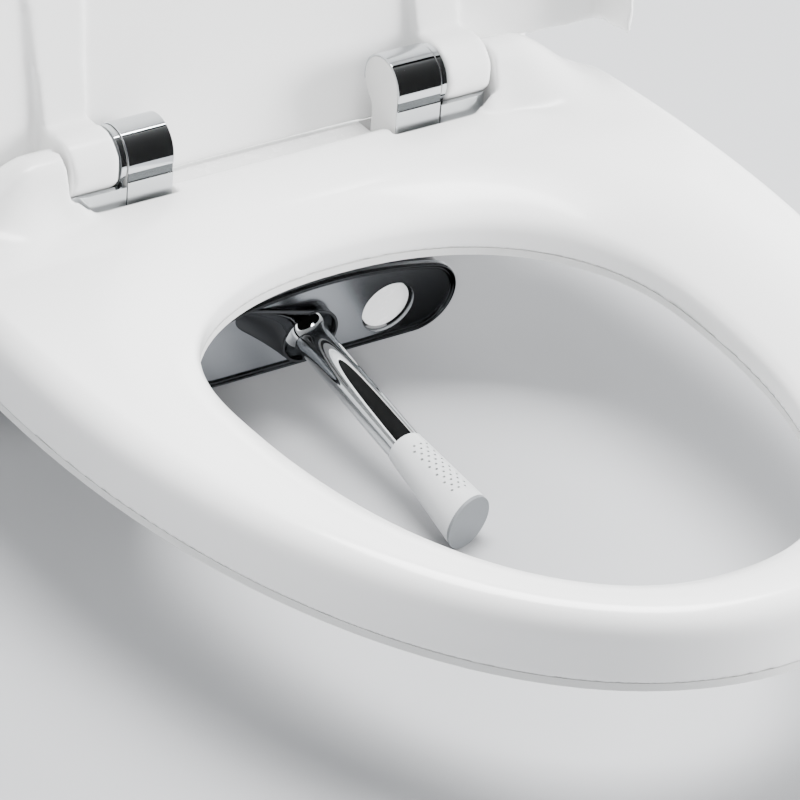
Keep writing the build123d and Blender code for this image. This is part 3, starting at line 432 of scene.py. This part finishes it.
def hole_outline():
    """The opening's right half outline from the front to the rear."""
    points = [oval(math.radians(90 - i), HOLE_HALF, HOLE_WIDEST, HOLE_FRONT, HOLE_POWER) for i in range(91)]
    points += [oval(math.radians(i), HOLE_HALF, HOLE_WIDEST, HOLE_REAR, HOLE_POWER) for i in range(1, 91)]
    return points


def reach(points, angle):
    """How far an outline is from the seat's centre, in a direction measured from the front."""
    last = None
    for x, y in points:
        here = math.atan2(x, SEAT_CENTRE_Y - y)
        far = math.hypot(x, y - SEAT_CENTRE_Y)
        if last and angle <= here:
            share = max(0.0, angle - last[0]) / max(1e-9, here - last[0])
            return last[1] + share * (far - last[1])
        last = (here, far)
    return last[1]


SEAT_LOWEST, SEAT_FLAT, HOLE_TOP = 4.5, 35.0, 17.0
SHOULDER, LIP = 13.0, 4
DISH, DISH_POWER = 46.0, 2.1
HUMP_TOP, HUMP_MIDDLE_Y = 61.5, -49.5
HUMP_ROUND, HUMP_REAR_ROUND = 10.5, 14.5  # radii of its front and of its rear
HUMP_EASE, HUMP_POWER = 1.5, 2.6  # where its round front ends, and how its slope fades
HUMP_SHORT, HUMP_GROWTH, HUMP_LONG_X = 13, 24, 150  # length of its slope beside the arm, and further out
HUMP_INNER_X, HUMP_FALL_X, HUMP_END_X = 96, 122, 170
ARM_SIDE = 109.3
NOSE_Y, NOSE_ROUND = -50.0, 8  # the rounded edge behind which the housing's bar lies
NOSE_REACH_X, NOSE_FULL_X, NOSE_NONE_X = 70, 56, 58


def hump(x, y):
    """How much the seat rises outside the lid's arms."""
    side = abs(x)
    length = HUMP_SHORT + HUMP_GROWTH * step(side, ARM_SIDE, HUMP_LONG_X)
    lift = HUMP_TOP - SEAT_FLAT
    front = HUMP_MIDDLE_Y - HUMP_ROUND
    if y <= HUMP_MIDDLE_Y:
        arc = max(-1.0, (HUMP_MIDDLE_Y - y) / HUMP_ROUND)
        round_part = HUMP_ROUND * math.sqrt(max(0.0, 1 - min(1.0, arc) ** 2)) - HUMP_ROUND
        if y > front + HUMP_EASE:
            rise = lift + round_part
        else:
            arc = (HUMP_MIDDLE_Y - front - HUMP_EASE) / HUMP_ROUND
            base = lift + HUMP_ROUND * math.sqrt(1 - arc ** 2) - HUMP_ROUND
            t = min(1.0, (front + HUMP_EASE - y) / length)
            rise = base * (1 - t) ** HUMP_POWER
    else:
        arc = min(1.0, (y - HUMP_MIDDLE_Y) / HUMP_REAR_ROUND)
        rise = lift - HUMP_REAR_ROUND * (1 - math.sqrt(max(0.0, 1 - arc ** 2)))
    return rise * step(side, HUMP_INNER_X, ARM_SIDE - 1) * (1 - step(side, HUMP_FALL_X, HUMP_END_X))


def rounding(distance, radius):
    """How far a rounded edge lies below the flat, from the distance to its foot."""
    return radius * (1 - math.sqrt(max(0.0, 1 - ((radius - distance) / radius) ** 2)))


def seat_height(x, y, inside, outside):
    """The seat's top, from the distances to the opening and to the outer edge."""
    t = min(1.0, inside / DISH)
    z = SEAT_FLAT - (SEAT_FLAT - HOLE_TOP) * (1 - t) ** DISH_POWER
    z += hump(x, y)
    if outside < SHOULDER:
        z -= rounding(outside, SHOULDER)
    if inside < LIP:
        z -= rounding(inside, LIP)
    nose = NOSE_Y - y
    if abs(x) < NOSE_REACH_X and nose < NOSE_ROUND:
        nose = max(0.0, nose)
        drop = NOSE_ROUND - math.sqrt(NOSE_ROUND ** 2 - (NOSE_ROUND - nose) ** 2)
        z -= drop * (1 - step(abs(x), NOSE_FULL_X, NOSE_NONE_X))
    return z


# The spaces at the seat's rear: for the housing's bar, the hinge heads, the feet of the fittings and the arms.
SPACE_REAR, SPACE_LOW, SPACE_HIGH = 20, -1, 80
BAR_HALF, BAR_FRONT = 55.5, -50
HEAD_IN, HEAD_OUT, HEAD_FRONT = 55.4, 83.4, -62
POCKET_IN, POCKET_OUT, POCKET_FRONT, POCKET_STEPS = 83.3, 109.0, -62.0, 8
FOOT_SPACE = (31.0, 41, 8.0)  # floor, top and corner radius
ARM_SPACE = (40, 80, 1.0)


def pocket_mesh(side, low, high, corner):
    """The space for one hinge's foot or arm, with its front outer corner rounded."""
    outline = [(POCKET_IN, POCKET_FRONT)]
    for i in range(POCKET_STEPS + 1):
        turn = QUARTER * i / POCKET_STEPS
        outline.append((POCKET_OUT - corner * (1 - math.sin(turn)),
                        POCKET_FRONT + corner * (1 - math.cos(turn))))
    outline += [(POCKET_OUT, SPACE_REAR), (POCKET_IN, SPACE_REAR)]
    count = len(outline)
    vertices = [Vector((side * x, y, z)) * MM for z in (low, high) for x, y in outline]
    faces = [tuple(range(count)), tuple(range(2 * count - 1, count - 1, -1))]
    for i in range(count):
        j = (i + 1) % count
        faces.append((i, j, count + j, count + i))
    return piece_from("c", vertices, faces)


STATIONS, ACROSS = 300, 64
SEAT_VOXEL, SEAT_ROUNDS = 1.2, 6


def build_seat():
    """The seat's upper shell."""
    outer, hole = seat_outline(), hole_outline()
    rings = []
    for i in range(STATIONS):
        angle = 2 * math.pi * i / STATIONS
        side = 1 if angle <= math.pi else -1
        turn = angle if side > 0 else 2 * math.pi - angle
        far, near = reach(outer, turn), reach(hole, turn)
        ux, uy = side * math.sin(turn), -math.cos(turn)
        ring = [(near, SEAT_LOWEST)]
        for j in range(ACROSS + 1):
            share = 0.5 - 0.5 * math.cos(math.pi * j / ACROSS)
            r = near + (far - near) * share
            x, y = ux * r, SEAT_CENTRE_Y + uy * r
            ring.append((r, seat_height(x, y, r - near, far - r)))
        ring.append((far, SEAT_LOWEST))
        rings.append([Vector((ux * r, SEAT_CENTRE_Y + uy * r, z)) * MM for r, z in ring])
    vertices = [v for ring in rings for v in ring]
    seat = piece_from("seat_shell", vertices, ring_faces(STATIONS, len(rings[0])), "seat_plastic")
    cutters = [block_mesh("c", (-BAR_HALF, BAR_FRONT, SPACE_LOW), (BAR_HALF, SPACE_REAR, SPACE_HIGH))]
    for side in (-1, 1):
        cutters.append(block_mesh("c", (side * HEAD_IN, HEAD_FRONT, SPACE_LOW),
                                  (side * HEAD_OUT, SPACE_REAR, SPACE_HIGH)))
        cutters.append(pocket_mesh(side, *FOOT_SPACE))
        cutters.append(pocket_mesh(side, *ARM_SPACE))
    cut(seat, cutters)
    melt(seat, SEAT_VOXEL, SEAT_ROUNDS)
    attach(seat, "seat")
    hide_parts("seat_top")


# ---- Lid ----------------------------------------------------------------------
LID_OPEN = math.radians(98)
# The lid's crowned top falls from its middle by the distance squared over LID_CROWN.
LID_TOP, LID_MIDDLE_Y, LID_CROWN = 76, -150, 4000
LID_VOXEL, LID_ROUNDS = 1.5, 8
STRAP_IN, STRAP_OUT, STRAP_ROOT_Y, STRAP_LENGTH, STRAP_STEPS = 83.9, 106.9, -58, 150, 12
STRAP_SUNK, STRAP_FLUSH = 1.5, 4.2  # depths below the lid's top: inside its wall, and at the inner face
STRAP_THICK, STRAP_FADE = 5.0, 1.5
STRAP_FLARE, STRAP_FLARE_POWER = 9, 1.2


def opened(point):
    """Takes a point in millimetres from the closed lid to the open one."""
    turn = Matrix.Rotation(-LID_OPEN, 3, "X")
    return turn @ (Vector(point) * MM - HINGE_AXIS) + HINGE_AXIS


def strap(side):
    """The raised band that carries a hinge arm's line up the lid's inner face."""
    rows = []
    for i in range(STRAP_STEPS + 1):
        share = i / STRAP_STEPS
        y = STRAP_ROOT_Y - STRAP_LENGTH * share
        thick = STRAP_THICK * (1 - share) ** STRAP_FADE
        flare = STRAP_FLARE * share ** STRAP_FLARE_POWER
        for x in (STRAP_IN - flare, STRAP_OUT + flare):
            top = LID_TOP - (x ** 2 + (y - LID_MIDDLE_Y) ** 2) / LID_CROWN
            rows.append([opened((side * x, y, top - STRAP_SUNK)),
                         opened((side * x, y, top - STRAP_FLUSH - thick))])
    vertices, faces = [], []
    for i in range(STRAP_STEPS + 1):
        (a, b), (c, d) = rows[2 * i], rows[2 * i + 1]
        vertices += [a, b, d, c]
    for i in range(STRAP_STEPS):
        for j in range(4):
            k = (j + 1) % 4
            faces.append((4 * i + j, 4 * i + k, 4 * i + 4 + k, 4 * i + 4 + j))
    last = 4 * STRAP_STEPS
    faces += [(0, 1, 2, 3), (last + 3, last + 2, last + 1, last)]
    return piece_from("strap", vertices, faces)


def copy_of(node, name):
    """A new piece that starts as a copy of a CAD node's mesh."""
    piece = bpy.data.objects.new(name, nodes[node].data.copy())
    bpy.context.scene.collection.objects.link(piece)
    drop_normals(piece)
    bm = bmesh.new()
    bm.from_mesh(piece.data)
    bmesh.ops.remove_doubles(bm, verts=bm.verts, dist=WELD)
    bm.to_mesh(piece.data)
    bm.free()
    return piece


def build_lid():
    """The lid with its arms flowing into its inner face."""
    lid = copy_of("lid", "lid_shell")
    join_meshes(lid, [strap(-1), strap(1)])
    melt(lid, LID_VOXEL, LID_ROUNDS)
    lid.data.materials.clear()
    lid.data.materials.append(materials["lid_plastic"])
    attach(lid, "lid_body")
    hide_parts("lid")


# ---- Plate rim ----------------------------------------------------------------
UNIT_CENTRE, UNIT_TILT = Vector((-8, -95, -30.5)), math.radians(10)
UNIT_PLACE = Matrix.Translation(UNIT_CENTRE * MM) @ Matrix.Rotation(UNIT_TILT, 4, "X")
PLATE_END, PLATE_HALF, PLATE_ARCH, PLATE_MIDDLE = 51.0, 19.0, 7.0, (8.0, 1.0)
PLATE_END_STEPS, PLATE_ARCH_STEPS = 32, 64
# The bead's section: the distance in from the plate's outline, and the height over the plate's skin.
RIM_PROFILE = ((0, -0.2), (0, 0.4), (0.15, 0.95), (0.5, 1.35), (0.95, 1.55), (1.4, 1.35), (1.75, 0.95),
               (1.95, 0.6), (2.15, 0.85), (2.5, 1.0), (2.85, 0.85), (3.1, 0.5), (3.2, -0.2))


def plate_outline(inset):
    """The plate's outline across the spray unit: two round ends, a straight foot and an arched top."""
    drop = (PLATE_END ** 2 - PLATE_ARCH ** 2) / (2 * PLATE_ARCH)
    far = drop + PLATE_ARCH + PLATE_HALF - inset
    small = PLATE_HALF - inset
    lean = math.atan2(drop, PLATE_END)
    points = []
    for i in range(PLATE_END_STEPS + 1):
        turn = lean - (lean + math.pi / 2) * i / PLATE_END_STEPS
        points.append((PLATE_END + small * math.cos(turn), small * math.sin(turn)))
    points += [(-x, z) for x, z in reversed(points)]
    for i in range(1, PLATE_ARCH_STEPS):
        turn = math.pi - lean + (2 * lean - math.pi) * i / PLATE_ARCH_STEPS
        points.append((far * math.cos(turn), far * math.sin(turn) - drop))
    return [(x + PLATE_MIDDLE[0], z + PLATE_MIDDLE[1]) for x, z in points]


def build_rim():
    """The polished border of the plate: a round outer bead and a finer inner one."""
    rows = [[UNIT_PLACE @ (Vector((x, -rise, z)) * MM) for x, z in plate_outline(inset)]
            for inset, rise in RIM_PROFILE]
    around = len(rows[0])
    vertices = [row[i] for i in range(around) for row in rows]
    rim = piece_from("plate_rim", vertices, ring_faces(around, len(rows)), "chrome_trim", "base")
    # Painted shade: the rim's near-black chrome stands in for its dark reflections under the seat.
    rim.data.materials[0] = materials["chrome_painted_shade"]
    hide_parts("face_plate_rim")


# ---- Stage --------------------------------------------------------------------
WORLD_LIGHT, MIRRORED_LIGHT = 0.85, 1.6
WORLD_COLOUR = (0.95, 0.97, 1.0, 1)
MIRRORED_WAY = (0, 0.9, 0.25)  # the direction in which the mirrored studio is bright
MIRRORED_STOPS = ((0.20, (0.002, 0.002, 0.002, 1)), (0.42, (0.9, 0.93, 0.94, 1)))
# Place, aim and size in metres, and power in watts.
KEY_LAMP = ((0.35, 0.3, 2.25), (0, -0.2, 0), 1.5, 225)
FILL_LAMP = ((2.2, -1.3, 0.7), (0, 0, 0.1), 1.2, 200)
SNOOT_LAMP = ((-0.65, -1.0, 0.62), (0, -0.105, -0.02), 0.1, 130)
SNOOT_BEAM, SNOOT_BLEND = math.radians(7), 0.8
FLOOR_HALF, FLOOR_COLOUR, FLOOR_ROUGH = 30.0, (0.36, 0.365, 0.375), 0.7


def make_world():
    """An even pale light, and for reflections a studio that is bright behind and dark in front."""
    world = bpy.data.worlds.new("studio")
    world.use_nodes = True
    bpy.context.scene.world = world
    tree = world.node_tree
    even = tree.nodes["Background"]
    even.inputs["Color"].default_value = WORLD_COLOUR
    even.inputs["Strength"].default_value = WORLD_LIGHT
    place = tree.nodes.new("ShaderNodeTexCoord")
    lean = tree.nodes.new("ShaderNodeVectorMath")
    lean.operation = "DOT_PRODUCT"
    lean.inputs[1].default_value = MIRRORED_WAY
    tree.links.new(place.outputs["Generated"], lean.inputs[0])
    ramp = tree.nodes.new("ShaderNodeValToRGB")
    for element, (position, colour) in zip(ramp.color_ramp.elements, MIRRORED_STOPS):
        element.position = position
        element.color = colour
    tree.links.new(lean.outputs["Value"], ramp.inputs["Fac"])
    studio = tree.nodes.new("ShaderNodeBackground")
    tree.links.new(ramp.outputs["Color"], studio.inputs["Color"])
    studio.inputs["Strength"].default_value = MIRRORED_LIGHT
    path = tree.nodes.new("ShaderNodeLightPath")
    mix = tree.nodes.new("ShaderNodeMixShader")
    tree.links.new(path.outputs["Is Glossy Ray"], mix.inputs["Fac"])
    tree.links.new(even.outputs["Background"], mix.inputs[1])
    tree.links.new(studio.outputs["Background"], mix.inputs[2])
    tree.links.new(mix.outputs["Shader"], tree.nodes["World Output"].inputs["Surface"])


def lamp(name, place, aim, size, power, form="AREA"):
    """A soft square lamp, or a round one with a narrow beam. Mirrors show only the key lamp."""
    data = bpy.data.lights.new(name, form)
    data.energy = power
    stand = bpy.data.objects.new(name, data)
    stand.location = place
    stand.rotation_mode = "QUATERNION"
    stand.rotation_quaternion = (Vector(aim) - Vector(place)).to_track_quat("-Z", "Y")
    if form == "AREA":
        data.size = size
    else:
        data.shadow_soft_size = size
    stand.visible_glossy = name == "key"
    bpy.context.scene.collection.objects.link(stand)
    return data


CARDS = (  # opposite corners in metres
    ((-0.20, -0.085, 0.040), (0.20, -0.085, 0.420)),
    ((-0.07, -0.101, -0.003), (0.07, -0.101, 0.019)),
    ((0.045, -0.150, -0.064), (0.130, -0.085, -0.064)),
)


def reflected_cards():
    """Black studio cards that only mirrors see: before the open lid, under the seat and below the plate."""
    vertices, faces = [], []
    for (x0, y0, z0), (x1, y1, z1) in CARDS:
        first = len(vertices)
        if y0 == y1:
            vertices += [(x0, y0, z0), (x1, y0, z0), (x1, y0, z1), (x0, y0, z1)]
        else:
            vertices += [(x0, y0, z0), (x1, y0, z0), (x1, y1, z0), (x0, y1, z0)]
        faces.append((first, first + 1, first + 2, first + 3))
    cards = piece_from("cards", vertices, faces)
    cards.data.materials.append(shader("card", (0.001, 0.001, 0.001), 1.0)[0])
    cards.visible_camera = False
    cards.visible_diffuse = False
    cards.visible_shadow = False


def make_stage():
    """Pale floor and soft lights."""
    half, lowest = FLOOR_HALF, cad_box[0].z
    corners = [(-half, -half, lowest), (half, -half, lowest), (half, half, lowest), (-half, half, lowest)]
    floor = piece_from("floor", corners, [(0, 1, 2, 3)])
    floor.data.materials.append(shader("floor", FLOOR_COLOUR, FLOOR_ROUGH)[0])
    lamp("key", *KEY_LAMP)
    lamp("fill", *FILL_LAMP)
    snoot = lamp("snoot", *SNOOT_LAMP, "SPOT")
    snoot.spot_size = SNOOT_BEAM
    snoot.spot_blend = SNOOT_BLEND
    reflected_cards()


make_camera()
make_world()
make_stage()
dress_cad_nodes()
shading = make_shading_tool()
for piece in nodes.values():
    clean(piece, shading)
for name, width in EDGE_WIDTHS.items():
    soften(name, width)
build_seat()
build_lid()
build_rim()
